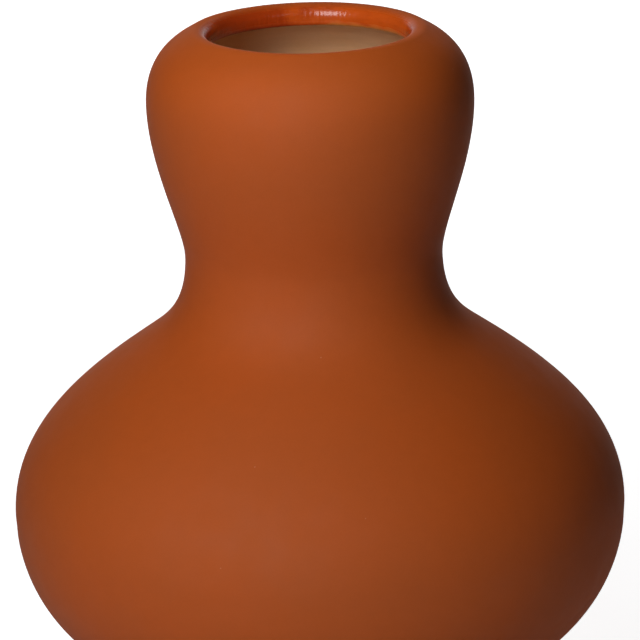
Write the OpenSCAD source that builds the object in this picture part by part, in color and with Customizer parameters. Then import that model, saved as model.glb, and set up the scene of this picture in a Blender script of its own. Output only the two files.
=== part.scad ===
// Gourd-shaped ceramic vase: a round belly, a narrow waist and a smaller head with a rolled lip.
// It is one fired clay body with three coats fired onto it, standing on four felt pads.
// The finished outline is a chain of smooth curves through a few stations, and the clay under
// each coat is worked out from that same outline, so every coat lies on the clay face to face.
// Millimetres, +Z up. The origin is the middle of the surface that the vase stands on.

/* [Belly] */
// Outside diameter at the widest place
belly_d = 200; // [180:1:220]
// Height of the widest place above the top of the foot
belly_rise = 60; // [52:0.5:70]
// Slope of the bowl where it leaves the foot, in degrees
bowl_slope = 18; // [10:1:28]
// How far the bowl's curve holds to its slope at the foot and at the belly
bowl_shares = [0.30, 0.64];

/* [Shoulder] */
// Outside diameter where the shoulder is straightest
shoulder_d = 120; // [112:1:130]
// Height from the belly to that place
shoulder_rise = 54.5; // [46:0.5:64]
// Slope of the shoulder there, in degrees from level
shoulder_slope = 35; // [28:1:42]
// How far the shoulder's curve holds to its slope at the belly and at the shoulder
shoulder_shares = [0.41, 0.54];

/* [Waist] */
// Outside diameter at the narrowest place
waist_d = 83.6; // [78:0.2:90]
// Height from the shoulder to the waist
waist_rise = 30; // [26:0.5:36]
// How far the neck's curve holds to its slope at the shoulder and at the waist
neck_shares = [0.39, 0.60];

/* [Head] */
// Outside diameter of the head at its widest
head_d = 106; // [98:1:116]
// Height from the waist to the widest place of the head
head_rise = 51.5; // [44:0.5:60]
// How far the head's curve holds to its slope at the waist and at the head
head_shares = [0.19, 0.40];

/* [Mouth] */
// Diameter of the ring along the crest of the lip
mouth_d = 73; // [66:0.5:80]
// Height from the widest place of the head to the crest
mouth_rise = 23.5; // [20:0.5:28]
// Radius of the rounding over the lip
lip_r = 4.2; // [3.2:0.1:5]
// Where the rounding starts on the outside, in degrees above level
lip_start = 55; // [45:1:70]
// How far the crown's curve holds to its slope at the head and at the lip
crown_shares = [0.75, 0.10];
// Height of the straight throat below the lip
throat_h = 1.5; // [0.5:0.1:3]
// Radius of the throat's lower edge
throat_edge_r = 1.2; // [0.8:0.1:1.8]
// How far the lower edge turns from upright, in degrees
throat_edge_turn = 65; // [50:1:80]

/* [Wall] */
// Thickness of the wall with its coats, from the belly to the head
wall_t = 5.5; // [4:0.1:7]
// Thickness of the base with its coat
base_t = 7; // [5:0.1:9]
// Diameter of the flat floor inside
floor_d = 60; // [40:1:76]
// How far the inner bowl's curve holds to its slope at the belly and at the floor
inner_bowl_shares = [0.62, 0.60];
// How far the inner crown's curve holds to its slope at the throat and at the head
inner_crown_shares = [0.30, 0.62];

/* [Foot] */
// Outside diameter of the foot ring
foot_d = 100; // [90:1:110]
// Width of the foot ring
foot_w = 11; // [9:0.5:14]
// Height of the ring's upright side above the felt
foot_h = 2.8; // [1.6:0.1:4]
// Radius of the hollow between the ring and the bowl
foot_fillet_r = 2.5; // [1.5:0.1:4]
// Radius of the ring's two lower edges
foot_edge_r = 0.9; // [0.4:0.1:1.4]
// Depth of the hollow under the base, from the ring's lower face
recess_h = 3.5; // [2.5:0.1:5]
// Radius of the inside corner of that hollow
recess_fillet_r = 1.5; // [0.6:0.1:2]

/* [Coats] */
// Thickness of the matt coat outside
matt_t = 0.45; // [0.3:0.05:0.7]
// Thickness of the glossy band on the lip
gloss_t = 0.5; // [0.3:0.05:0.7]
// Thickness of the satin liner inside
liner_t = 0.4; // [0.3:0.05:0.7]
// How far inside the crest the glossy band starts, in degrees round the lip
gloss_start = 30; // [10:1:50]

/* [Felt pads] */
// Number of pads under the ring
pad_count = 4; // [3:1:6]
// Thickness of a pad
pad_t = 1.2; // [0.8:0.1:2]
// Clear rim between a pad and the ring's rounded edges
pad_margin = 0.6; // [0.3:0.1:1]

/* [Hidden] */
// Steps in each curve, the angle of one step round a corner, and points taken as one
curve_steps = 14;
corner_step = 15;
weld = 0.001;
round_fn = 128;
// Directions along the outline, and angles from level round the lip
up = [0, 1];
down = [0, -1];
inward = [-1, 0];
upright = 90;
crest_angle = upright;
throat_angle = 2 * upright;
// Heights and stations, from the ground up
ground_z = pad_t;
foot_z = ground_z + foot_h;
base_z = ground_z + recess_h;
floor_z = base_z + base_t;
belly = [belly_d / 2, foot_z + belly_rise];
shoulder = [shoulder_d / 2, belly[1] + shoulder_rise];
waist = [waist_d / 2, shoulder[1] + waist_rise];
head = [head_d / 2, waist[1] + head_rise];
height = head[1] + mouth_rise;
lip_c = [mouth_d / 2, height - lip_r];
throat_r = mouth_d / 2 - lip_r;
throat_edge_c = [throat_r + throat_edge_r, lip_c[1] - throat_h];
// The foot ring and its pads
foot_r = foot_d / 2;
ring_in_r = foot_r - foot_w;
foot_fillet_c = [foot_r + foot_fillet_r, foot_z];
fillet_end_angle = upright + bowl_slope;
pad_ring_r = foot_r - foot_w / 2;
pad_d = foot_w - 2 * (foot_edge_r + pad_margin);

// Unit direction at an angle, and the direction of travel a quarter turn on from it
function way(a) = [cos(a), sin(a)];
function travel(a) = [-sin(a), cos(a)];
function backwards(list) = [for (i = [len(list) - 1:-1:0]) list[i]];

// A surface is a list of [radius, height, normal radius, normal height], with the clay on the
// left of the way it runs and the open air on the right, where the normals point
function on_face(p, dir) = [p[0], p[1], dir[1] / norm(dir), -dir[0] / norm(dir)];
function cubic(p, t) =
    (1 - t) ^ 3 * p[0] + 3 * (1 - t) ^ 2 * t * p[1] + 3 * (1 - t) * t ^ 2 * p[2] + t ^ 3 * p[3];
function cubic_way(p, t) =
    (1 - t) ^ 2 * (p[1] - p[0]) + 2 * (1 - t) * t * (p[2] - p[1]) + t ^ 2 * (p[3] - p[2]);
function handles(a, b, way_a, way_b, shares) =
    let (h = abs(b[1] - a[1])) [a, a + way_a * shares[0] * h, b - way_b * shares[1] * h, b];
function curve(a, b, way_a, way_b, shares) =
    let (p = handles(a, b, way_a, way_b, shares))
    [for (i = [0:curve_steps]) on_face(cubic(p, i / curve_steps), cubic_way(p, i / curve_steps))];

// An arc about a centre, as points or as a surface that bulges into the air
function arc_angles(from, to) =
    let (steps = ceil(abs(to - from) / corner_step)) [for (i = [0:steps]) from + (to - from) * i / steps];
function arc(c, r, from, to) = [for (a = arc_angles(from, to)) c + r * way(a)];
function round_face(c, r, from, to) = [for (a = arc_angles(from, to)) on_face(c + r * way(a), travel(a))];

// Runs put end to end, with the points that they share taken once
function apart(p, q) = norm([p[0] - q[0], p[1] - q[1]]) > weld;
function joined(run) = [for (i = [0:len(run) - 1]) if (i == 0 || apart(run[i], run[i - 1])) run[i]];
// The line that lies a depth below a surface
function below(face, depth) = [for (f = face) [f[0] - depth * f[2], f[1] - depth * f[3]]];
// The other side of a wall of the given thickness, run the other way
function far_side(face, t) = [for (f = backwards(face)) [f[0] - t * f[2], f[1] - t * f[3], -f[2], -f[3]]];

// The wall's outer side from the belly to the head, which the inside follows
side_face = joined(concat(
    curve(belly, shoulder, up, travel(upright - shoulder_slope), shoulder_shares),
    curve(shoulder, waist, travel(upright - shoulder_slope), up, neck_shares),
    curve(waist, head, up, up, head_shares)));

// The matt coat's surface: from the top of the foot to just inside the crest of the lip
bowl_start = foot_fillet_c + foot_fillet_r * way(fillet_end_angle);
matt_face = joined(concat(
    curve(bowl_start, belly, way(bowl_slope), up, bowl_shares),
    side_face,
    curve(head, lip_c + lip_r * way(lip_start), up, travel(lip_start), crown_shares),
    round_face(lip_c, lip_r, lip_start, crest_angle + gloss_start)));

// The glossy band's surface: down the inside of the lip and round the throat's lower edge
gloss_face = joined(concat(
    round_face(lip_c, lip_r, crest_angle + gloss_start, throat_angle),
    round_face(throat_edge_c, throat_edge_r, throat_angle, throat_angle + throat_edge_turn)));

// The liner's surface: under the crown, down the wall and over the floor to the axis
inner_belly = [belly[0] - wall_t, belly[1]];
inner_head = [head[0] - wall_t, head[1]];
inner_floor = [floor_d / 2, floor_z];
edge_end_angle = throat_angle + throat_edge_turn;
throat_end = throat_edge_c + throat_edge_r * way(edge_end_angle);
liner_face = joined(concat(
    curve(throat_end, inner_head, travel(edge_end_angle), down, inner_crown_shares),
    far_side(side_face, wall_t),
    curve(inner_belly, inner_floor, down, inward, inner_bowl_shares),
    [on_face([0, floor_z], inward)]));

// The bare foot: out under the base, round the ring and up to the matt coat's lower edge
foot_line = concat(
    [[0, base_z]],
    arc([ring_in_r - recess_fillet_r, base_z - recess_fillet_r], recess_fillet_r, 90, 0),
    arc([ring_in_r + foot_edge_r, ground_z + foot_edge_r], foot_edge_r, 180, 270),
    arc([foot_r - foot_edge_r, ground_z + foot_edge_r], foot_edge_r, 270, 360),
    arc(foot_fillet_c, foot_fillet_r, 180, fillet_end_angle));

// One fired piece: the foot as it stands, and under each coat the surface set back by that coat
module clay_body() {
    color("#c08a5c")
        rotate_extrude($fn = round_fn)
            polygon(joined(concat(
                foot_line,
                below(matt_face, matt_t),
                below(gloss_face, gloss_t),
                below(liner_face, liner_t))));
}

// A coat of even thickness under its own surface
module coat(face, t) {
    rotate_extrude($fn = round_fn)
        polygon(concat(below(face, 0), backwards(below(face, t))));
}

// Matt terracotta-coloured coat over the whole outside, down to the bare foot
module outer_glaze() {
    color("#b5501f")
        coat(matt_face, matt_t);
}

// Glossy orange-red band over the inner half of the lip and the throat
module lip_glaze() {
    color("#c8440e")
        coat(gloss_face, gloss_t);
}

// Satin stone-coloured liner that keeps the water in
module liner_glaze() {
    color("#a5876a")
        coat(liner_face, liner_t);
}

// Self-adhesive felt pads, evenly spaced under the middle of the foot ring
module foot_pads() {
    color("#5b5148")
        for (i = [0:pad_count - 1])
            rotate(360 * (i + 0.5) / pad_count)
                translate([pad_ring_r, 0, 0])
                    cylinder(d = pad_d, h = pad_t, $fn = round_fn);
}

clay_body();
outer_glaze();
lip_glaze();
liner_glaze();
foot_pads();
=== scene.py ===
# Gourd-shaped ceramic vase: a fired clay body, three glazes laid on it and four felt pads under it.
import math

import bpy
import numpy as np
from mathutils import Matrix, Vector


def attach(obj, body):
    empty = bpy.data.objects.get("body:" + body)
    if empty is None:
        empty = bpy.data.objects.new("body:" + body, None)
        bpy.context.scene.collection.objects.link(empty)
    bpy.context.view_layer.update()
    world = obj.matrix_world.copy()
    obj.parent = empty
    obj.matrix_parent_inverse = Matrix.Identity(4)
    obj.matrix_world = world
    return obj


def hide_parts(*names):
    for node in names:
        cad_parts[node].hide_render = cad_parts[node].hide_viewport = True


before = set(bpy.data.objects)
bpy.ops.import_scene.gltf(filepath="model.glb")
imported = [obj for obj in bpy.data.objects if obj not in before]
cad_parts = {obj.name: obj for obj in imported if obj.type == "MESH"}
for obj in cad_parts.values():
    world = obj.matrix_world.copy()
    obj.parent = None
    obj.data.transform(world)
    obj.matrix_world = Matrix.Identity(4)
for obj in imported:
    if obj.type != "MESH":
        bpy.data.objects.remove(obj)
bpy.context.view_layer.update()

MM = 0.001
TURN = 2 * math.pi

# Lengths in metres below which two spots are one, or a length is none
SAME_SPOT = 1e-5
MERGED_SPOT = 0.001 * MM
NO_LENGTH = 1e-7

# How closely the outline and the sections are drawn
CURVE_STEP = 0.8 * MM
CURVE_TURN = math.radians(2)
LONG_CHORD = 3
BEND_SPAN = 2
LOOK_AHEAD = 0.3 * MM
FINE_STEP = 2.2 * MM
FINE_TURN = math.radians(3.5)
BARE_STEP = 1.2 * MM
HIDDEN_STEP = 9 * MM
HIDDEN_TURN = math.radians(20)
CLAY_TURN = math.radians(12)
LEAST_STEP = 0.1 * MM

# How far the wall strays from round, which calms down near the axis and towards the foot
SWAY = 0.28 * MM
SWAY_SIZE = 75 * MM
SWAY_LIFT_SHARE = 0.6
SWAY_LIFT_SEED = 9.0
SWAY_CALM_AXIS = 12 * MM
SWAY_CALM_FOOT = (6 * MM, 40 * MM)
RELIEF_CALM_AXIS = (0.1 * MM, 4 * MM)
LEAST_REACH = 1 * MM
WALL_SEED = 3.0

# The lines where the coats end: how far and in how many waves they wander as they go round
FOOT_WANDER = 0.9 * MM
BAND_WANDER = 0.35 * MM
THROAT_WANDER = 0.3 * MM
LINE_REACH = 2.6 * MM
LINE_WAVES = 2.3
WAVE_SHARES = {"Foot": 1.0, "Band": 1.0, "Throat": 0.7}
LINES_APART = 7.0

# The coats: how thick they are, how deep their backs lie, how far they lap and how their edges are rounded
MATT_THICK = 0.45 * MM
GLOSS_THICK = 0.5 * MM
LINER_THICK = 0.4 * MM
BACK_DEPTH = 0.4 * MM
FILM = 0.02 * MM
FOOT_OVERLAP = 0.8 * MM
BAND_OVERLAP = 1.2 * MM
THROAT_OVERLAP = 0.35 * MM
CLAY_SINK = 0.4 * MM
FOOT_ROLL = 0.35 * MM
BAND_ROLL = 0.3 * MM
FOOT_BEAD = 0.16 * MM
THROAT_BEAD = 0.1 * MM
BEAD_SPREAD = 2.5
THROAT_LUMPS = 2.5
LUMP_SPREAD = 1.5
EDGE_SHARES = (0, 0.03, 0.1, 0.22, 0.4, 0.65, 1.0, 1.6, 2.4, 3.6, 5.0)

# The felt pads
PAD_FUZZ = 0.1 * MM
PAD_FUZZ_SIZE = 0.5 * MM
PAD_SQUARENESS = 0.3
PAD_COLUMNS = 96
PAD_ROWS = 30
PAD_SEED = 5.0

# Helpers for objects and node trees


def linked(made):
    """An object put into the scene."""
    bpy.context.scene.collection.objects.link(made)
    return made


def feed(tree, socket, value):
    """Links an output into a socket, or sets the socket's own value."""
    if isinstance(value, bpy.types.NodeSocket):
        tree.links.new(value, socket)
    elif value is not None:
        socket.default_value = value


def feed_named(tree, made, values):
    """Feeds a node's inputs by their names."""
    for name, value in values.items():
        feed(tree, made.inputs[name], value)


def node(tree, kind, *values, **settings):
    """A node with its settings made and its inputs fed in order."""
    made = tree.nodes.new(kind)
    for key, value in settings.items():
        setattr(made, key, value)
    for socket, value in zip(made.inputs, values):
        feed(tree, socket, value)
    return made


def calc(tree, operation, *values):
    return node(tree, "ShaderNodeMath", *values, operation=operation).outputs[0]


def vector(tree, x=0.0, y=0.0, z=0.0):
    return node(tree, "ShaderNodeCombineXYZ", x, y, z).outputs[0]


def vector_calc(tree, operation, a, b=None, scale=None):
    made = node(tree, "ShaderNodeVectorMath", a, b, operation=operation)
    if scale is not None:
        feed(tree, made.inputs["Scale"], scale)
    return made.outputs["Vector"]


def parts_of(tree, value):
    made = node(tree, "ShaderNodeSeparateXYZ", value)
    return made.outputs["X"], made.outputs["Y"], made.outputs["Z"]


def cloud(tree, place, scale, seed, detail=2.0, roughness=0.5):
    """Smooth noise from 0 to 1 at a place, the same each time for one seed."""
    made = node(tree, "ShaderNodeTexNoise", noise_dimensions="4D")
    feed_named(tree, made, {
        "Vector": place, "W": seed, "Scale": scale, "Detail": detail, "Roughness": roughness})
    return made.outputs["Fac"]


def swing(tree, noise):
    """Noise from 0 to 1 made to swing from -1 to 1 about its middle."""
    return calc(tree, "MULTIPLY_ADD", noise, 2.0, -1.0)


def ramp(tree, value, low, high, to_low=0.0, to_high=1.0):
    """A value carried softly from one range to another, held at both ends."""
    made = node(tree, "ShaderNodeMapRange", interpolation_type="SMOOTHSTEP")
    feed_named(tree, made, {
        "Value": value, "From Min": low, "From Max": high, "To Min": to_low, "To Max": to_high})
    return made.outputs["Result"]


def round_axis(tree, angle, reach, z=0.0):
    """The place at an angle round the axis, a reach out from it."""
    x = calc(tree, "MULTIPLY", calc(tree, "COSINE", angle), reach)
    y = calc(tree, "MULTIPLY", calc(tree, "SINE", angle), reach)
    return vector(tree, x, y, z)


# The finished outline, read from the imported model


def seam_run(name):
    """A turned node's outline as (radius, height) points in order, read along its seam at angle 0."""
    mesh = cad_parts[name].data
    on_seam = {}
    for vertex in mesh.vertices:
        x, y, z = vertex.co
        if abs(y) < NO_LENGTH and x >= 0:
            on_seam[vertex.index] = (round(x, 6), round(z, 6))
    near = {}
    for edge in mesh.edges:
        a, b = (on_seam.get(i) for i in edge.vertices)
        if a and b and a != b:
            near.setdefault(a, set()).add(b)
            near.setdefault(b, set()).add(a)
    ends = sorted((p for p in near if len(near[p]) == 1), key=lambda p: p[1])
    run = [ends[0] if ends else min(near, key=lambda p: p[1])]
    while True:
        onward = sorted(near[run[-1]] - set(run))
        if not onward:
            return run
        run.append(onward[0])


def outer_part(loop, inside):
    """The points of a coat's closed outline that aren't on the clay, in one unbroken run."""
    free = [p not in inside for p in loop]
    start = next(i for i in range(len(loop)) if free[i] and not free[i - 1])
    turned = loop[start:] + loop[:start]
    return turned[:sum(free)]


def whole_line():
    """The finished surface from the middle of the underside to the floor's middle, and each coat's end."""
    clay = seam_run("clay_body")
    matt_loop = seam_run("outer_glaze")
    foot = clay[:next(i for i, p in enumerate(clay) if p in matt_loop) + 1]
    line = [(0.0, foot[0][1])] + foot
    marks = [len(line) - 1]
    for name in ("outer_glaze", "lip_glaze", "liner_glaze"):
        part = outer_part(seam_run(name), set(clay))
        if math.dist(part[0], line[-1]) > math.dist(part[-1], line[-1]):
            part.reverse()
        line += [p for p in part if math.dist(p, line[-1]) > SAME_SPOT]
        marks.append(len(line) - 1)
    line.append((0.0, line[-1][1]))
    marks[-1] = len(line) - 1
    return np.array(line), marks


def headings(line):
    """The line's direction at each point, and the long chord's own where a long one meets a short one."""
    chord = np.diff(line, axis=0)
    length = np.linalg.norm(chord, axis=1)
    unit = chord / length[:, None]
    way = np.vstack([unit[:1], unit[:-1] * length[1:, None] + unit[1:] * length[:-1, None], unit[-1:]])
    for i in range(1, len(line) - 1):
        before, after = length[i - 1], length[i]
        if max(before, after) > LONG_CHORD * min(before, after):
            way[i] = unit[i - 1] if before > after else unit[i]
    return way / np.linalg.norm(way, axis=1)[:, None]


def smooth_line(line, marks):
    """Smooth curves through the line's points, their running length, and the lengths of the marks."""
    way = headings(line)
    points, at_mark = [line[0]], {0: 0}
    for i in range(len(line) - 1):
        a, b = line[i], line[i + 1]
        span = np.linalg.norm(b - a)
        bend = math.acos(np.clip(way[i] @ way[i + 1], -1, 1))
        steps = max(math.ceil(span / CURVE_STEP), math.ceil(bend / CURVE_TURN), 1)
        for t in np.arange(1, steps + 1) / steps:
            curved = (2 * t**3 - 3 * t**2 + 1) * a + (3 * t**2 - 2 * t**3) * b
            curved += (t**3 - 2 * t**2 + t) * span * way[i] + (t**3 - t**2) * span * way[i + 1]
            points.append(curved)
        at_mark[i + 1] = len(points) - 1
    points = np.array(points)
    run = np.concatenate([[0], np.cumsum(np.linalg.norm(np.diff(points, axis=0), axis=1))])
    return points, run, [run[at_mark[m]] for m in marks]


line_points, line_run, (FOOT_AT, BAND_AT, THROAT_AT, END_AT) = smooth_line(*whole_line())


def line_object(name, points):
    """A curve object that runs straight from point to point, in the XZ plane."""
    data = bpy.data.curves.new(name, "CURVE")
    data.dimensions = "3D"
    spline = data.splines.new("POLY")
    spline.points.add(len(points) - 1)
    for spot, (r, z) in zip(spline.points, points):
        spot.co = (r, 0, z, 1)
    return linked(bpy.data.objects.new(name, data))


# The unrolled sections: rows of a length along the outline, a height above it and a share of the relief


def bend_at(s):
    """How fast the outline bends at a length, in radians a metre."""
    i = int(np.clip(np.searchsorted(line_run, s), BEND_SPAN, len(line_run) - 1 - BEND_SPAN))
    a = line_points[i] - line_points[i - BEND_SPAN]
    b = line_points[i + BEND_SPAN] - line_points[i]
    bend = math.acos(np.clip(a @ b / (np.linalg.norm(a) * np.linalg.norm(b)), -1, 1))
    return bend / ((line_run[i + BEND_SPAN] - line_run[i - BEND_SPAN]) / 2)


def stations(start, end, step=FINE_STEP, turn=FINE_TURN):
    """Lengths from start to end, closer together where the outline bends."""
    found = [start]
    while end - found[-1] > NO_LENGTH:
        bend = max(bend_at(found[-1] + LOOK_AHEAD), bend_at(found[-1]), 1)
        found.append(min(found[-1] + min(step, turn / bend), end))
    if len(found) > 2 and found[-1] - found[-2] < LEAST_STEP:
        found.pop(-2)
    return np.array(found)


def coat_height(away, bead, roll):
    """How proud a coat stands, away from its end: a rounded front, then a bead that fades out."""
    front = np.clip(away / roll, 0, 1)
    rise = -FILM + (FILM + bead) * np.sqrt(1 - (1 - front) ** 2)
    return np.where(away < roll, rise, bead * np.exp(-((away - roll) / (BEAD_SPREAD * roll)) ** 2))


def edge_rows(start, end, roll):
    """Stations that are close together near both ends."""
    close = roll * np.array(EDGE_SHARES)
    inner = stations(start + close[-1], end - close[-1])
    return np.concatenate([start + close[:-1], inner, (end - close[:-1])[::-1]])


def hidden_rows(start, end, turn=HIDDEN_TURN, depth=BACK_DEPTH):
    """Rows that lie smoothly under the finished surface, where nobody sees them."""
    return [(s, -depth, 0.0) for s in stations(start, end, HIDDEN_STEP, turn)]


def ring_section(start, end, beads, roll, lumps=0.0):
    """A coat with two free ends as one closed run: its face, lumpier towards the second end, and its back."""
    face = edge_rows(start, end, roll)
    first = coat_height(face - start, beads[0], roll)
    second = coat_height(end - face, beads[1], roll)
    proud = np.where(face - start < roll, first, np.maximum(first, second))
    proud = np.where(end - face < roll, second, proud)
    rough = 1 + lumps * np.exp(-((end - face) / (LUMP_SPREAD * roll)) ** 2)
    rows = list(zip(face, proud, rough)) + hidden_rows(start, end)[::-1]
    return rows + rows[:1]


def liner_section(start, end):
    """The liner: its back from the axis out to its upper edge, then its face down to the axis."""
    return hidden_rows(start, end)[::-1] + [(s, 0.0, 1.0) for s in stations(start, end)]


def clay_section():
    """The clay: bare up to just under the matt glaze's lower edge, then sunk under each coat in turn."""
    bare = FOOT_AT - FOOT_OVERLAP + FOOT_ROLL
    rows = [(s, 0.0, 1.0) for s in stations(0, bare, BARE_STEP)]
    rows += hidden_rows(max(FOOT_AT, bare + CLAY_SINK), BAND_AT, CLAY_TURN, MATT_THICK)
    rows += hidden_rows(BAND_AT, THROAT_AT, CLAY_TURN, GLOSS_THICK)
    return rows + hidden_rows(THROAT_AT, END_AT, CLAY_TURN, LINER_THICK)


def section_object(name, rows):
    """A strip of points that holds a section's rows in order."""
    mesh = bpy.data.meshes.new(name)
    mesh.from_pydata([tuple(map(float, row)) for row in rows], [(i, i + 1) for i in range(len(rows) - 1)], [])
    return linked(bpy.data.objects.new(name, mesh))


# The tree that lays a section along the outline and turns it round the axis

TURNING_INPUTS = {
    "Object": ("Outline", "Section"),
    "Int": ("Rows", "Columns"),
    "Float": (
        "Foot Line", "Band Line", "Throat Line", "Foot Wander", "Band Wander", "Throat Wander",
        "Wander Reach", "Line Waves", "Relief", "Relief Waves", "Relief Step", "Sway", "Sway Size", "Seed"),
    "Material": ("Finish",),
}


def new_tree(name, inputs):
    """A geometry tree with its named inputs, and their values inside it."""
    tree = bpy.data.node_groups.new(name, "GeometryNodeTree")
    tree.interface.new_socket("Geometry", in_out="OUTPUT", socket_type="NodeSocketGeometry")
    for kind, labels in inputs.items():
        for label in labels:
            tree.interface.new_socket(label, in_out="INPUT", socket_type="NodeSocket" + kind)
    return tree, tree.nodes.new("NodeGroupInput").outputs


def unrolled(tree, place):
    """Of a flat unit grid: the angle round the axis, and the share of the way up its rows."""
    u, v, _ = parts_of(tree, vector_calc(tree, "ADD", place, (0.5, 0.5, 0.0)))
    return calc(tree, "MULTIPLY", u, TURN), v


def laid_grid(tree, columns, rows, spot, length=None):
    """A unit grid moved to its turned shape, seam and poles closed. Its points keep their length along."""
    across = calc(tree, "ADD", columns, 1.0)
    grid = tree.nodes.new("GeometryNodeMeshGrid")
    feed_named(tree, grid, {"Size X": 1.0, "Size Y": 1.0, "Vertices X": across, "Vertices Y": rows})
    kept = node(tree, "GeometryNodeStoreNamedAttribute", data_type="FLOAT", domain="POINT")
    feed_named(tree, kept, {"Geometry": grid.outputs["Mesh"], "Name": "along", "Value": length})
    laid = node(tree, "GeometryNodeSetPosition", kept.outputs[0])
    feed(tree, laid.inputs["Position"], spot)
    closed = tree.nodes.new("GeometryNodeMergeByDistance")
    feed_named(tree, closed, {"Geometry": laid.outputs[0], "Distance": MERGED_SPOT})
    return closed.outputs[0]


def ended_tree(tree, shape, material):
    """Smooth shading, real geometry and the material end every tree."""
    smooth = node(tree, "GeometryNodeSetShadeSmooth", shape)
    real = node(tree, "GeometryNodeRealizeInstances", smooth.outputs[0])
    finished = tree.nodes.new("GeometryNodeSetMaterial")
    feed_named(tree, finished, {"Geometry": real.outputs[0], "Material": material})
    result = tree.nodes.new("NodeGroupOutput")
    tree.links.new(finished.outputs[0], result.inputs["Geometry"])
    return tree


def wandered(tree, given, angle, length):
    """A length along the outline, slid a little near each coat's end, as the line there goes round."""
    slide = 0.0
    for number, (name, share) in enumerate(WAVE_SHARES.items()):
        waves = calc(tree, "MULTIPLY", given["Line Waves"], share)
        circle = round_axis(tree, angle, waves, LINES_APART * number)
        wander = swing(tree, cloud(tree, circle, 1.0, given["Seed"], detail=2.0, roughness=0.45))
        past = calc(tree, "SUBTRACT", length, given[name + " Line"])
        off = calc(tree, "DIVIDE", past, given["Wander Reach"])
        fade = calc(tree, "EXPONENT", calc(tree, "MULTIPLY", calc(tree, "MULTIPLY", off, off), -1.0))
        part = calc(tree, "MULTIPLY", calc(tree, "MULTIPLY", wander, fade), given[name + " Wander"])
        slide = calc(tree, "ADD", slide, part)
    return calc(tree, "ADD", length, slide)


def strayed(tree, given, place):
    """How far the wall strays from round at a place: the same for every piece, and nothing at the foot."""
    x, y, up = parts_of(tree, place)
    reach = calc(tree, "SQRT", calc(tree, "ADD", calc(tree, "MULTIPLY", x, x), calc(tree, "MULTIPLY", y, y)))
    size = calc(tree, "DIVIDE", 1.0, given["Sway Size"])
    other_seed = calc(tree, "ADD", given["Seed"], SWAY_LIFT_SEED)
    out = calc(tree, "MULTIPLY", swing(tree, cloud(tree, place, size, given["Seed"], 1.0)), given["Sway"])
    lift = calc(tree, "MULTIPLY", swing(tree, cloud(tree, place, size, other_seed, 1.0)), given["Sway"])
    off_axis = calc(tree, "MULTIPLY", out, ramp(tree, reach, 0.0, SWAY_CALM_AXIS))
    side = calc(tree, "DIVIDE", off_axis, calc(tree, "MAXIMUM", reach, LEAST_REACH))
    stray = vector(tree, calc(tree, "MULTIPLY", x, side), calc(tree, "MULTIPLY", y, side),
                   calc(tree, "MULTIPLY", lift, SWAY_LIFT_SHARE))
    return vector_calc(tree, "SCALE", stray, scale=ramp(tree, up, *SWAY_CALM_FOOT))


def turning_tree():
    tree, given = new_tree("turning", TURNING_INPUTS)
    outline = node(tree, "GeometryNodeObjectInfo", given["Outline"]).outputs["Geometry"]
    section = node(tree, "GeometryNodeObjectInfo", given["Section"]).outputs["Geometry"]
    place = tree.nodes.new("GeometryNodeInputPosition").outputs[0]

    angle, v = unrolled(tree, place)
    row = calc(tree, "ROUND", calc(tree, "MULTIPLY", v, calc(tree, "SUBTRACT", given["Rows"], 1.0)))
    row_of = node(tree, "GeometryNodeSampleIndex", data_type="FLOAT_VECTOR")
    feed_named(tree, row_of, {"Geometry": section, "Value": place, "Index": row})
    length, height, share = parts_of(tree, row_of.outputs["Value"])
    on_line = node(tree, "GeometryNodeSampleCurve", mode="LENGTH", use_all_curves=True)
    feed_named(tree, on_line, {"Curves": outline, "Length": wandered(tree, given, angle, length)})
    r, _, z = parts_of(tree, on_line.outputs["Position"])
    ahead_r, _, ahead_z = parts_of(tree, on_line.outputs["Tangent"])

    # The relief, with each piece's own waves round the axis and step along the outline
    rings = calc(tree, "DIVIDE", length, given["Relief Step"])
    around = round_axis(tree, angle, given["Relief Waves"], rings)
    relief = swing(tree, cloud(tree, around, 1.0, given["Seed"], detail=3.0, roughness=0.55))
    relief = calc(tree, "MULTIPLY", relief, ramp(tree, r, *RELIEF_CALM_AXIS))
    height = calc(tree, "MULTIPLY_ADD", calc(tree, "MULTIPLY", relief, share), given["Relief"], height)
    r = calc(tree, "MAXIMUM", calc(tree, "MULTIPLY_ADD", ahead_z, height, r), 0.0)
    z = calc(tree, "SUBTRACT", z, calc(tree, "MULTIPLY", ahead_r, height))
    closed = laid_grid(tree, given["Columns"], given["Rows"], round_axis(tree, angle, r, z), length)
    moved = node(tree, "GeometryNodeSetPosition", closed)
    feed(tree, moved.inputs["Offset"], strayed(tree, given, place))
    return ended_tree(tree, moved.outputs[0], given["Finish"])


# The tree that makes the pads: rounded discs set round a ring

PAD_INPUTS = {
    "Int": ("Pads", "Around", "Rows"),
    "Float": (
        "Ring Radius", "First Angle", "Radius", "Thickness", "Squareness", "Fuzz", "Fuzz Size", "Seed"),
    "Material": ("Finish",),
}


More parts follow.
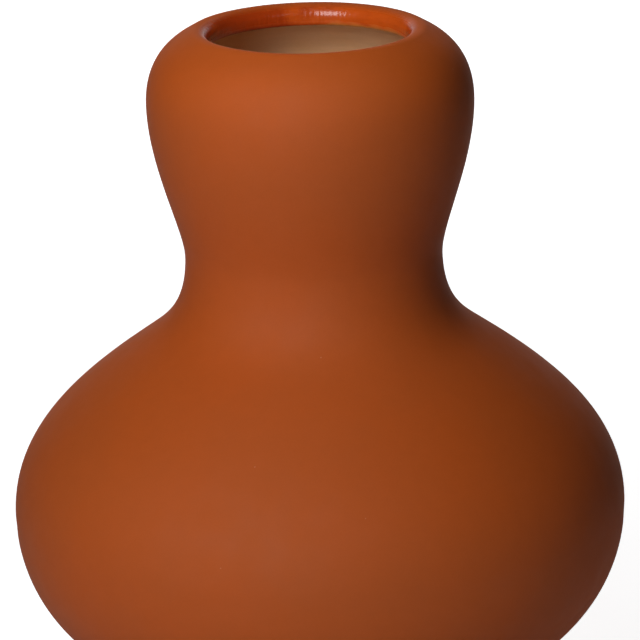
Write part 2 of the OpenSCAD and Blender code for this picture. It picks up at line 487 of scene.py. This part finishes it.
def pads_tree():
    tree, given = new_tree("pads", PAD_INPUTS)
    angle, tilt = unrolled(tree, tree.nodes.new("GeometryNodeInputPosition").outputs[0])
    tilt = calc(tree, "MULTIPLY_ADD", tilt, math.pi, -math.pi / 2)
    wide = calc(tree, "POWER", calc(tree, "MAXIMUM", calc(tree, "COSINE", tilt), 0.0), given["Squareness"])
    lean = calc(tree, "SINE", tilt)
    squared = calc(tree, "POWER", calc(tree, "ABSOLUTE", lean), given["Squareness"])
    tall = calc(tree, "MULTIPLY", calc(tree, "SIGN", lean), squared)
    height = calc(tree, "MULTIPLY", calc(tree, "MULTIPLY_ADD", tall, 0.5, 0.5), given["Thickness"])
    disc = round_axis(tree, angle, calc(tree, "MULTIPLY", wide, given["Radius"]), height)
    pad = laid_grid(tree, given["Around"], given["Rows"], disc)

    turn = calc(tree, "DIVIDE", TURN, given["Pads"])
    number = tree.nodes.new("GeometryNodeInputIndex").outputs[0]
    spot = calc(tree, "MULTIPLY_ADD", number, turn, given["First Angle"])
    ring = tree.nodes.new("GeometryNodePoints")
    feed_named(tree, ring, {"Count": given["Pads"], "Position": round_axis(tree, spot, given["Ring Radius"])})
    set_round = tree.nodes.new("GeometryNodeInstanceOnPoints")
    facing = vector(tree, z=spot)
    feed_named(tree, set_round, {"Points": ring.outputs[0], "Instance": pad, "Rotation": facing})
    real = node(tree, "GeometryNodeRealizeInstances", set_round.outputs[0])

    # Loose fibres make the side uneven, and leave both faces flat
    place = tree.nodes.new("GeometryNodeInputPosition").outputs[0]
    normal = tree.nodes.new("GeometryNodeInputNormal").outputs[0]
    flat = vector_calc(tree, "MULTIPLY", normal, (1.0, 1.0, 0.0))
    scale = calc(tree, "DIVIDE", 1.0, given["Fuzz Size"])
    tufts = swing(tree, cloud(tree, place, scale, given["Seed"], detail=3.0))
    fuzzy = node(tree, "GeometryNodeSetPosition", real.outputs[0])
    fibres = vector_calc(tree, "SCALE", flat, scale=calc(tree, "MULTIPLY", tufts, given["Fuzz"]))
    feed(tree, fuzzy.inputs["Offset"], fibres)
    return ended_tree(tree, fuzzy.outputs[0], given["Finish"])


def made_plain(holder, modifier):
    """The evaluated shape of an object as its own plain mesh, with the modifier taken off."""
    bpy.context.view_layer.update()
    depsgraph = bpy.context.evaluated_depsgraph_get()
    shape = bpy.data.meshes.new_from_object(
        holder.evaluated_get(depsgraph), preserve_all_data_layers=True, depsgraph=depsgraph)
    shape.name = holder.name
    holder.modifiers.remove(modifier)
    holder.data = shape
    return holder


def run_tree(name, tree, values):
    """A new object made by a tree, whose named inputs are set before it is first evaluated."""
    holder = bpy.data.objects.new(name, bpy.data.meshes.new(name + "_start"))
    modifier = holder.modifiers.new(tree.name, "NODES")
    modifier.node_group = tree
    for item in tree.interface.items_tree:
        if item.item_type == "SOCKET" and item.in_out == "INPUT":
            modifier[item.identifier] = values[item.name]
    return made_plain(linked(holder), modifier)


TURNING = turning_tree()
OUTLINE = line_object("finished_outline", line_points)


def turned_piece(name, rows, material, columns, relief, relief_waves, relief_step):
    """A section turned round the axis, with its relief's height, its waves round and its step along."""
    section = section_object(name + "_section", rows)
    piece = run_tree(name, TURNING, {
        "Outline": OUTLINE, "Section": section, "Rows": len(rows), "Columns": columns,
        "Foot Line": FOOT_AT, "Band Line": BAND_AT, "Throat Line": THROAT_AT,
        "Foot Wander": FOOT_WANDER, "Band Wander": BAND_WANDER, "Throat Wander": THROAT_WANDER,
        "Wander Reach": LINE_REACH, "Line Waves": LINE_WAVES,
        "Relief": relief, "Relief Waves": relief_waves, "Relief Step": relief_step,
        "Sway": SWAY, "Sway Size": SWAY_SIZE, "Seed": WALL_SEED, "Finish": material})
    bpy.data.objects.remove(section)
    return piece


# Finishes. A speck is full from this share of its reach inwards
SPECK_CORE = 0.4


def new_finish(name, roughness, specular=0.5):
    """A material with its tree, its shader and the object's own coordinates."""
    material = bpy.data.materials.new(name)
    material.use_nodes = True
    tree = material.node_tree
    shader = tree.nodes["Principled BSDF"]
    shader.inputs["Roughness"].default_value = roughness
    shader.inputs["Specular IOR Level"].default_value = specular
    place = tree.nodes.new("ShaderNodeTexCoord").outputs["Object"]
    return material, tree, shader, place


def spots(tree, place, size, seed, detail=2.0, roughness=0.5):
    """Smooth noise from 0 to 1, with spots of about a size across."""
    return cloud(tree, place, 1 / size, seed, detail, roughness)


def uneven(tree, place, size, amount, seed, detail=3.0):
    """Rough noise that swings to an amount on both sides of 0."""
    return calc(tree, "MULTIPLY", swing(tree, spots(tree, place, size, seed, detail, roughness=0.6)), amount)


def shade(tree, colour, amount):
    """A colour made lighter or darker by an amount about 1."""
    return vector_calc(tree, "SCALE", colour, scale=amount)


def shade_by(tree, colour, first, second):
    """A colour made lighter or darker by two amounts about 0."""
    return shade(tree, colour, calc(tree, "ADD", calc(tree, "ADD", first, second), 1.0))


def mixed(tree, share, a, b):
    """Colour a carried to colour b by a share."""
    made = node(tree, "ShaderNodeMix", data_type="RGBA")
    first, second = (socket for socket in made.inputs if socket.type == "RGBA")
    feed(tree, made.inputs[0], share)
    feed(tree, first, a)
    feed(tree, second, b)
    return next(socket for socket in made.outputs if socket.type == "RGBA")


def bump(tree, height, distance, strength, under=None):
    """A fine relief, which may lie over another one."""
    made = tree.nodes.new("ShaderNodeBump")
    feed_named(tree, made, {"Strength": strength, "Distance": distance, "Height": height, "Normal": under})
    return made.outputs["Normal"]


def specks(tree, place, cell, size, share, seed):
    """Round dots in a share of the cells, chosen by chance: 1 in a dot's middle and 0 outside it."""
    dots = node(tree, "ShaderNodeTexVoronoi", voronoi_dimensions="3D")
    moved = vector_calc(tree, "ADD", place, (seed, seed, seed))
    feed_named(tree, dots, {"Vector": moved, "Scale": 1 / cell})
    dot = ramp(tree, dots.outputs["Distance"], size / cell, SPECK_CORE * size / cell)
    chance = parts_of(tree, dots.outputs["Color"])[0]
    return calc(tree, "MULTIPLY", dot, calc(tree, "LESS_THAN", chance, share))


def along(tree):
    """How far along the outline a point lies, in metres."""
    return node(tree, "ShaderNodeAttribute", attribute_name="along").outputs["Fac"]


# The matt glaze
MATT_WARM = (0.445, 0.077, 0.006, 1)
MATT_DUSTY = (0.42, 0.078, 0.0085, 1)
MATT_SPECK = (0.62, 0.33, 0.2, 1)
MATT_SPECK_SHOWS = 0.4
MATT_ROUGH = 0.72
MATT_ROUGH_SWING = 0.04
MATT_SHINE = 0.34
MATT_CLOUD = 48 * MM
MATT_MOTTLE = 4.5 * MM
MATT_MOTTLE_SHADE = 0.04
MATT_GRAIN = 0.45 * MM
MATT_GRAIN_SHADE = 0.06
MATT_PATCH = 9 * MM
MATT_TOOTH = 0.32 * MM
MATT_TOOTH_DEPTH = 0.02 * MM
MATT_WAVE = 5 * MM
MATT_WAVE_DEPTH = 0.06 * MM


def matt_colour(tree, place):
    """The matt glaze's colour: broad soft clouds, a fine grain and a few pale specks."""
    broad = spots(tree, place, MATT_CLOUD, seed=1.0, detail=3.0)
    colour = mixed(tree, ramp(tree, broad, low=0.3, high=0.7), MATT_DUSTY, MATT_WARM)
    grain = uneven(tree, place, MATT_GRAIN, MATT_GRAIN_SHADE, seed=2.0, detail=2.0)
    mottle = uneven(tree, place, MATT_MOTTLE, MATT_MOTTLE_SHADE, seed=4.0)
    colour = shade_by(tree, colour, grain, mottle)
    pale = specks(tree, place, cell=11 * MM, size=0.32 * MM, share=0.3, seed=0.11)
    return mixed(tree, calc(tree, "MULTIPLY", pale, MATT_SPECK_SHOWS), colour, MATT_SPECK)


def matt_relief(tree, place):
    """The matt glaze's dry surface: a fine tooth over a soft waviness."""
    tooth = spots(tree, place, MATT_TOOTH, seed=5.0, roughness=0.6)
    wavy = bump(tree, spots(tree, place, MATT_WAVE, seed=6.0), MATT_WAVE_DEPTH, strength=0.5)
    return bump(tree, tooth, MATT_TOOTH_DEPTH, strength=0.5, under=wavy)


def matt_finish():
    """The matt glaze, a little smoother in some patches than in others."""
    material, tree, shader, place = new_finish("matt_glaze_finish", MATT_ROUGH, MATT_SHINE)
    feed(tree, shader.inputs["Base Color"], matt_colour(tree, place))
    patches = spots(tree, place, MATT_PATCH, seed=7.0, detail=3.0, roughness=0.6)
    smoothest, roughest = MATT_ROUGH - MATT_ROUGH_SWING, MATT_ROUGH + MATT_ROUGH_SWING
    rough = ramp(tree, patches, low=0.25, high=0.75, to_low=smoothest, to_high=roughest)
    feed(tree, shader.inputs["Roughness"], rough)
    feed(tree, shader.inputs["Normal"], matt_relief(tree, place))
    return material


# The glossy band. One side of the mouth is darkened towards deep red as painted shade, and the brush ran dry
# at another side
# GLOSS_DEEP is the band's own deeper red in streaks and patches, and also the painted shade on one side of
# the mouth
GLOSS_DEEP = (0.38, 0.04, 0.004, 1)
GLOSS = (0.58, 0.084, 0.007, 1)
GLOSS_THIN = (0.56, 0.24, 0.05, 1)
GLOSS_ROUGH = 0.23
GLOSS_ROUGH_SWING = 0.06
EDGE_ROUGH = 0.45
EDGE_ROUGH_REACH = 3 * MM
PAINTED_SHADE_SIDE = (-0.96, 0.28, 0.0)
BRUSH_END = (0.64, 0.77, 0.0)
PAINTED_SHADE_DEPTH = -0.18
BRUSH_END_THINNER = 0.12
STREAK = 1.1 * MM
STREAK_STRETCH = (0.25, 0.25, 1.0)
STREAK_SHARE = 0.3
PATCH = 13 * MM
PATCH_SHARE = 0.7
YELLOW_REACH = 0.25 * MM
YELLOW_REACH_DRY = 4.2 * MM
YELLOW_SHARE = 0.8
STROKE = 1.1 * MM
STROKE_LENGTH = 5 * MM
STROKE_DEPTH = 0.24 * MM
PEEL = 0.8 * MM
PEEL_DEPTH = 0.03 * MM
WET_WANDER = 0.7 * MM
WET_START = -1.5 * MM
WET_FULL = 1.7 * MM


def from_edge(tree, length):
    """How far a point of the band lies above its lower edge in the throat, in metres."""
    return calc(tree, "SUBTRACT", THROAT_AT + THROAT_OVERLAP, length)


def mouth_side(tree, place, direction, start, full):
    """Up to 1 on the side of the mouth that a direction points to, 0 on the other sides."""
    flat = vector_calc(tree, "NORMALIZE", vector_calc(tree, "MULTIPLY", place, (1.0, 1.0, 0.0)))
    toward = node(tree, "ShaderNodeVectorMath", flat, direction, operation="DOT_PRODUCT").outputs["Value"]
    return ramp(tree, toward, start, full)


def gloss_colour(tree, place, length, streak, patchy):
    """Redder on one side of the mouth as painted shade, and yellow along the lower edge, most where the brush
    ran dry.
    """
    thin = calc(tree, "MULTIPLY_ADD", streak, STREAK_SHARE, calc(tree, "MULTIPLY", patchy, PATCH_SHARE))
    dry = mouth_side(tree, place, BRUSH_END, start=0.72, full=0.95)
    # Painted shade: the side of the mouth that faces away from the key lamp is pushed towards the deep red
    painted_shade_side = mouth_side(tree, place, PAINTED_SHADE_SIDE, start=0.4, full=0.95)
    thin = calc(tree, "MULTIPLY_ADD", dry, BRUSH_END_THINNER, thin)
    thin = calc(tree, "MULTIPLY_ADD", painted_shade_side, PAINTED_SHADE_DEPTH, thin)
    colour = mixed(tree, ramp(tree, thin, low=0.36, high=0.62), GLOSS_DEEP, GLOSS)
    reach = calc(tree, "MULTIPLY_ADD", calc(tree, "MULTIPLY", dry, streak), YELLOW_REACH_DRY, YELLOW_REACH)
    above = calc(tree, "DIVIDE", from_edge(tree, length), reach)
    yellow = ramp(tree, above, low=0.1, high=1.0, to_low=YELLOW_SHARE, to_high=0.0)
    return mixed(tree, yellow, colour, GLOSS_THIN)


def gloss_relief(tree, place, length):
    """The band's brush strokes, which run down into the mouth, under a fine orange peel."""
    x, y, _ = parts_of(tree, vector_calc(tree, "SCALE", place, scale=1 / STROKE))
    down = vector(tree, x, y, calc(tree, "DIVIDE", length, STROKE_LENGTH))
    strokes = bump(tree, cloud(tree, down, 1.0, seed=4.0, detail=1.0), STROKE_DEPTH, strength=0.8)
    peel = spots(tree, place, PEEL, seed=9.0, detail=3.0, roughness=0.6)
    return bump(tree, peel, PEEL_DEPTH, strength=0.5, under=strokes)


def gloss_finish():
    """The brushed glossy band, which turns matt at its upper edge and duller at its lower one."""
    material, tree, shader, place = new_finish("gloss_band_finish", GLOSS_ROUGH)
    length = along(tree)
    stretched = vector_calc(tree, "MULTIPLY", place, STREAK_STRETCH)
    streak = spots(tree, stretched, STREAK, seed=3.0, detail=3.0, roughness=0.55)
    patchy = spots(tree, place, PATCH, seed=8.0)
    colour = gloss_colour(tree, place, length, streak, patchy)
    soft = calc(tree, "MULTIPLY_ADD", swing(tree, patchy), WET_WANDER, length)
    wet = ramp(tree, soft, BAND_AT + WET_START, BAND_AT + WET_FULL)
    feed(tree, shader.inputs["Base Color"], mixed(tree, wet, matt_colour(tree, place), colour))
    sheen = calc(tree, "MULTIPLY_ADD", swing(tree, streak), GLOSS_ROUGH_SWING, GLOSS_ROUGH)
    dull = ramp(tree, from_edge(tree, length), 0.0, EDGE_ROUGH_REACH, EDGE_ROUGH - GLOSS_ROUGH, 0.0)
    from_matt = calc(tree, "SUBTRACT", calc(tree, "ADD", sheen, dull), MATT_ROUGH)
    feed(tree, shader.inputs["Roughness"], calc(tree, "MULTIPLY_ADD", from_matt, wet, MATT_ROUGH))
    feed(tree, shader.inputs["Normal"], gloss_relief(tree, place, length))
    return material


# The satin liner
LINER = (0.8, 0.49, 0.27, 1)
LINER_WARM = (0.77, 0.43, 0.2, 1)
# Painted shade and painted red reflection of the band, just under the throat
LINER_PAINTED_SHADE = (0.5, 0.17, 0.035, 1)
LINER_PAINTED_SHADE_REACH = 1.3 * MM
LINER_PAINTED_SHADE_SHARE = 0.6
LINER_ROUGH = 0.42
LINER_SMOOTHEST = 0.36
LINER_ROUGHEST = 0.5
LINER_CLOUD = 26 * MM
LINER_GRAIN = 0.7 * MM
LINER_GRAIN_SHADE = 0.06
LINER_RING = 1.5 * MM
LINER_RING_STRETCH = (0.12, 0.12, 1.0)
LINER_RING_SHADE = 0.11
LINER_WAVE = 3 * MM
LINER_WAVE_DEPTH = 0.08 * MM
LINER_PIT_DEPTH = 0.15 * MM


def liner_finish():
    """The stone-coloured liner: throwing rings, pits, and painted shade with a painted red reflection of the
    band just under the glossy band.
    """
    material, tree, shader, place = new_finish("stone_liner_finish", LINER_ROUGH)
    broad = spots(tree, place, LINER_CLOUD, seed=2.0, detail=3.0, roughness=0.55)
    colour = mixed(tree, ramp(tree, broad, low=0.35, high=0.7), LINER, LINER_WARM)
    grain = uneven(tree, place, LINER_GRAIN, LINER_GRAIN_SHADE, seed=3.0)
    stretched = vector_calc(tree, "MULTIPLY", place, LINER_RING_STRETCH)
    rings = uneven(tree, stretched, LINER_RING, LINER_RING_SHADE, seed=5.0)
    colour = shade_by(tree, colour, grain, rings)
    # Painted shade: darker and redder just under the glossy band, where the throat overhangs the liner and
    # the red band's light bounces onto it
    throat_shade = ramp(tree, along(tree), THROAT_AT, THROAT_AT + LINER_PAINTED_SHADE_REACH, LINER_PAINTED_SHADE_SHARE, 0.0)
    feed(tree, shader.inputs["Base Color"], mixed(tree, throat_shade, colour, LINER_PAINTED_SHADE))
    pits = specks(tree, place, cell=7 * MM, size=0.35 * MM, share=0.35, seed=0.05)
    sunk = calc(tree, "MULTIPLY", pits, -1.0)
    wavy = spots(tree, place, LINER_WAVE, seed=4.0, detail=3.0)
    lumpy = bump(tree, wavy, LINER_WAVE_DEPTH, strength=0.5)
    feed(tree, shader.inputs["Normal"], bump(tree, sunk, LINER_PIT_DEPTH, strength=0.6, under=lumpy))
    rough = ramp(tree, wavy, low=0.3, high=0.7, to_low=LINER_SMOOTHEST, to_high=LINER_ROUGHEST)
    feed(tree, shader.inputs["Roughness"], rough)
    return material


# The bare clay of the foot
CLAY = (0.5, 0.29, 0.16, 1)
CLAY_DARK = (0.37, 0.2, 0.11, 1)
CLAY_GRIT = (0.13, 0.07, 0.04, 1)
CLAY_GRIT_SHOWS = 0.6
CLAY_GRIT_HEIGHT = 0.1 * MM
CLAY_ROUGH = 0.85
CLAY_SHINE = 0.3
CLAY_DUSTINESS = 0.6
CLAY_CLOUD = 14 * MM
CLAY_SAND = 0.5 * MM
CLAY_SAND_DEPTH = 0.09 * MM
CLAY_SAND_DARKEST = 0.82
CLAY_SAND_LIGHTEST = 1.15


def clay_finish():
    """Bare fired clay: sandy, with dark grit."""
    material, tree, shader, place = new_finish("bare_clay_finish", CLAY_ROUGH, CLAY_SHINE)
    broad = spots(tree, place, CLAY_CLOUD, seed=2.0, detail=4.0, roughness=0.6)
    colour = mixed(tree, ramp(tree, broad, low=0.3, high=0.75), CLAY, CLAY_DARK)
    sand = spots(tree, place, CLAY_SAND, seed=3.0, detail=3.0, roughness=0.7)
    sandy = ramp(tree, sand, low=0.2, high=0.8, to_low=CLAY_SAND_DARKEST, to_high=CLAY_SAND_LIGHTEST)
    grit = specks(tree, place, cell=2.2 * MM, size=0.28 * MM, share=0.5, seed=0.02)
    gritty = calc(tree, "MULTIPLY", grit, CLAY_GRIT_SHOWS)
    feed(tree, shader.inputs["Base Color"], mixed(tree, gritty, shade(tree, colour, sandy), CLAY_GRIT))
    tooth = bump(tree, sand, CLAY_SAND_DEPTH, strength=0.8)
    feed(tree, shader.inputs["Normal"], bump(tree, grit, CLAY_GRIT_HEIGHT, strength=0.6, under=tooth))
    shader.inputs["Diffuse Roughness"].default_value = CLAY_DUSTINESS
    return material


# The felt of the pads
FELT = (0.095, 0.08, 0.066)
FELT_ROUGH = 0.95
FELT_SHINE = 0.15
FELT_TUFT = 0.6 * MM
FELT_TUFT_DEPTH = 0.15 * MM
FELT_DARKEST = 0.6
FELT_LIGHTEST = 1.5
FELT_SHEEN = 0.4
FELT_SHEEN_ROUGH = 0.5


def felt_finish():
    """Dark tufty felt with a soft sheen."""
    material, tree, shader, place = new_finish("felt_finish", FELT_ROUGH, FELT_SHINE)
    tufts = spots(tree, place, FELT_TUFT, seed=2.0, detail=4.0, roughness=0.7)
    tufty = ramp(tree, tufts, low=0.2, high=0.8, to_low=FELT_DARKEST, to_high=FELT_LIGHTEST)
    feed(tree, shader.inputs["Base Color"], shade(tree, FELT, tufty))
    feed(tree, shader.inputs["Normal"], bump(tree, tufts, FELT_TUFT_DEPTH, strength=0.9))
    shader.inputs["Sheen Weight"].default_value = FELT_SHEEN
    shader.inputs["Sheen Roughness"].default_value = FELT_SHEEN_ROUGH
    return material


# The pieces


def clay_piece():
    return turned_piece("fired_clay_body", clay_section(), clay_finish(), columns=360,
                        relief=0.05 * MM, relief_waves=0.5, relief_step=0.9 * MM)


def matt_piece():
    rows = ring_section(FOOT_AT - FOOT_OVERLAP, BAND_AT, (FOOT_BEAD, 0.0), FOOT_ROLL)
    return turned_piece("matt_outer_glaze", rows, matt_finish(), columns=400,
                        relief=0.02 * MM, relief_waves=2.0, relief_step=14 * MM)


def gloss_piece():
    start, end = BAND_AT - BAND_OVERLAP, THROAT_AT + THROAT_OVERLAP
    rows = ring_section(start, end, (FILM, THROAT_BEAD), BAND_ROLL, THROAT_LUMPS)
    return turned_piece("glossy_lip_glaze", rows, gloss_finish(), columns=720,
                        relief=0.035 * MM, relief_waves=15.0, relief_step=2.6 * MM)


def liner_piece():
    return turned_piece("stone_liner", liner_section(THROAT_AT, END_AT), liner_finish(), columns=300,
                        relief=0.05 * MM, relief_waves=1.2, relief_step=9 * MM)


def pads_piece():
    """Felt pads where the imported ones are, each a soft-edged disc with a fuzzy side."""
    corners = np.array([v.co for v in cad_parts["foot_pads"].data.vertices])
    one = corners[(corners[:, 0] > 0) & (corners[:, 1] > 0)]
    low, high = one.min(axis=0), one.max(axis=0)
    middle = (low + high) / 2
    return run_tree("felt_foot_pads", pads_tree(), {
        "Pads": round(len(corners) / len(one)),
        "Ring Radius": float(math.hypot(middle[0], middle[1])),
        "First Angle": math.atan2(middle[1], middle[0]),
        "Radius": float((high[0] - low[0]) / 2 - PAD_FUZZ),
        "Thickness": float(high[2] - low[2]),
        "Squareness": PAD_SQUARENESS, "Fuzz": PAD_FUZZ, "Fuzz Size": PAD_FUZZ_SIZE,
        "Around": PAD_COLUMNS, "Rows": PAD_ROWS, "Seed": PAD_SEED, "Finish": felt_finish()})


def stand_for(piece, node_name):
    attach(piece, "root")
    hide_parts(node_name)


stand_for(clay_piece(), "clay_body")
stand_for(matt_piece(), "outer_glaze")
stand_for(gloss_piece(), "lip_glaze")
stand_for(liner_piece(), "liner_glaze")
stand_for(pads_piece(), "foot_pads")
bpy.data.objects.remove(OUTLINE)

# Camera, lamps and floor
CAMERA_LENS = 309.9
CAMERA_ROLL = math.radians(-1.41)
CAMERA_STAND = Vector((-0.0002, -1.7248, 0.6248))
CAMERA_AIM = Vector((0.00144, 0, 0.1257))
LAMP_AIM = Vector((0, 0, 0.13))
ROOM_LIGHT = 0.012
PAPER_START = 0.8
PAPER_FULL = 0.95
FLOOR_HALF = 6.0
FLOOR_LEVEL = -0.05 * MM
FLOOR_GREY = 0.7
FLOOR_ROUGH = 0.9
FLOOR_GLOW = 0.8


def place_camera():
    """The photograph's view: a long lens from in front and above, rolled as the vase leans in it."""
    data = bpy.data.cameras.new("camera")
    data.lens = CAMERA_LENS
    data.sensor_width = 36
    data.clip_start = 0.1
    data.clip_end = 50
    camera = linked(bpy.data.objects.new("camera", data))
    look = (CAMERA_AIM - CAMERA_STAND).to_track_quat("-Z", "Y").to_matrix().to_4x4()
    camera.matrix_world = Matrix.Translation(CAMERA_STAND) @ look @ Matrix.Rotation(CAMERA_ROLL, 4, "Z")
    bpy.context.scene.camera = camera


def softbox(name, azimuth, elevation, distance, width, height, power, mirrored=True):
    """A flat lamp that faces the vase's middle, from azimuth 0 in front of it and 90 to its right."""
    data = bpy.data.lights.new(name, "AREA")
    data.shape = "RECTANGLE"
    data.size = width
    data.size_y = height
    data.energy = power
    lamp = linked(bpy.data.objects.new(name, data))
    a, e = math.radians(azimuth), math.radians(elevation)
    back = Vector((math.sin(a) * math.cos(e), -math.cos(a) * math.cos(e), math.sin(e)))
    facing = back.to_track_quat("Z", "Y").to_matrix().to_4x4()
    lamp.matrix_world = Matrix.Translation(LAMP_AIM + back * distance) @ facing
    lamp.visible_camera = False
    lamp.visible_glossy = mirrored


def white_seen(tree, place):
    """Where a ray sees the white background: everywhere straight on or through glass, and as a mirror image
    where paper fills a cone straight behind the vase. The rest of the room is dark in a mirror image."""
    path = tree.nodes.new("ShaderNodeLightPath").outputs
    straight = calc(tree, "MAXIMUM", path["Is Camera Ray"], path["Is Transmission Ray"])
    behind = ramp(tree, parts_of(tree, vector_calc(tree, "NORMALIZE", place))[1], PAPER_START, PAPER_FULL)
    return calc(tree, "MAXIMUM", straight, calc(tree, "MULTIPLY", path["Is Glossy Ray"], behind))


def white_world():
    """A dim even room with a white background."""
    world = bpy.data.worlds.new("studio")
    bpy.context.scene.world = world
    world.use_nodes = True
    tree = world.node_tree
    back = tree.nodes["Background"]
    seen = white_seen(tree, tree.nodes.new("ShaderNodeTexCoord").outputs["Generated"])
    feed(tree, back.inputs["Color"], (1, 1, 1, 1))
    feed(tree, back.inputs["Strength"], calc(tree, "MULTIPLY_ADD", seen, 1.0 - ROOM_LIGHT, ROOM_LIGHT))


def pale_floor():
    """A plain floor just under the pads, pale enough to pass into the white and still take a shadow."""
    mesh = bpy.data.meshes.new("floor")
    half, level = FLOOR_HALF, FLOOR_LEVEL
    corners = [(-half, -half, level), (half, -half, level), (half, half, level), (-half, half, level)]
    mesh.from_pydata(corners, [], [(0, 1, 2, 3)])
    floor = linked(bpy.data.objects.new("floor", mesh))
    material, tree, shader, place = new_finish("floor_finish", FLOOR_ROUGH)
    shader.inputs["Base Color"].default_value = (FLOOR_GREY, FLOOR_GREY, FLOOR_GREY, 1)
    shader.inputs["Emission Color"].default_value = (1, 1, 1, 1)
    glow = calc(tree, "MULTIPLY", white_seen(tree, place), FLOOR_GLOW)
    feed(tree, shader.inputs["Emission Strength"], glow)
    mesh.materials.append(material)


place_camera()
pale_floor()
white_world()
softbox("key", azimuth=-26, elevation=27, distance=1.0, width=0.38, height=0.62, power=6.3)
softbox("side_glow", azimuth=27, elevation=27, distance=1.0, width=0.3, height=0.12, power=0.16)

# The two fills don't show in the glazes' mirror images
softbox("top_fill", azimuth=-22, elevation=68, distance=0.3, width=0.12, height=0.12, power=0.16,
        mirrored=False)
softbox("back_fill", azimuth=178, elevation=28, distance=1.3, width=0.5, height=0.5, power=6.0,
        mirrored=False)

bpy.context.scene.view_settings.view_transform = "Standard"
